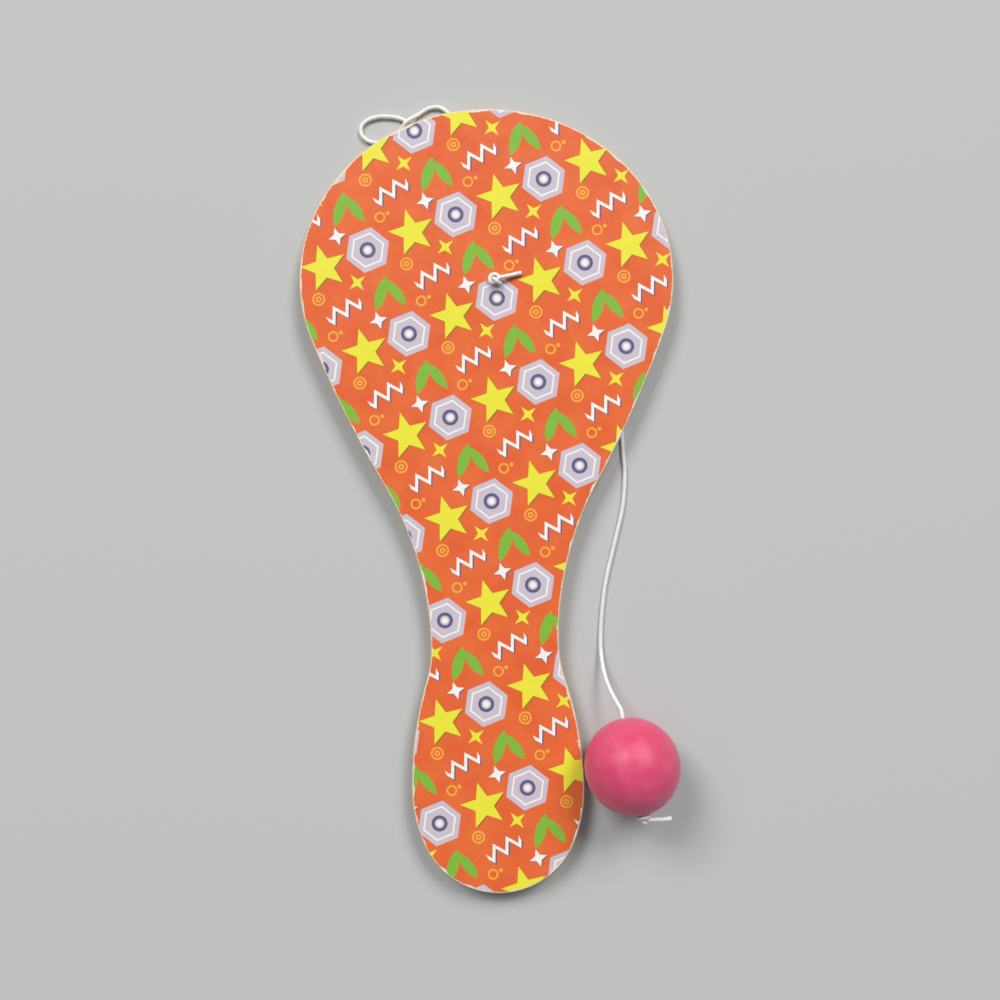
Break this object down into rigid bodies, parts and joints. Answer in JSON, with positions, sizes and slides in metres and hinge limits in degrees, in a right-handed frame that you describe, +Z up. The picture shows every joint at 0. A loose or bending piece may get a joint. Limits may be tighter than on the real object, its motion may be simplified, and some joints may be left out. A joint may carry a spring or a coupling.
{
  "type": "paddle ball game",
  "caption": "Flat wooden bat with a printed hitting face, and a rubber ball on a long elastic string that is knotted through a hole in the middle of the bat's head.",
  "frame": {"origin": "on the table, under the middle of the bat's length and width", "axes": "+Y runs from the grip to the head, +Z is up out of the printed face, +X is to the right of both"},
  "size_m": [0.117, 0.2489, 0.029],
  "materials": {
    "print": "glossy print",
    "face_wood": "sanded",
    "core_wood": "sanded",
    "string": "matt",
    "ball_rubber": "matt"
  },
  "bodies": {
    "paddle": {"front_sheet": "print", "front_ply": "face_wood", "core_ply": "core_wood", "back_ply": "face_wood"},
    "string": {"paddle_knot": "string", "elastic_cord": "string"},
    "string_end": {"cord_in_ball": "string", "ball_knot": "string"},
    "ball": {"ball": "ball_rubber"}
  },
  "joints": [
    {"name": "ball_swing", "type": "hinge", "parent": "paddle", "child": "string", "pos_m": [0.0022, 0.06915, 0.0065], "axis": [0, 0, 1], "range_deg": [0, 328]},
    {"name": "string_stretch", "type": "slide", "parent": "string", "child": "string_end", "axis": [0.2495, -0.9684, 0], "range_m": [0, 0.6], "stiffness_N_per_m": 4.7, "deforming": ["elastic_cord"]},
    {"name": "ball_spin", "type": "hinge", "parent": "string_end", "child": "ball", "pos_m": [0.04089, -0.08145, 0.0145], "axis": [0.153, -0.9661, 0.2079], "continuous": true}
  ]
}
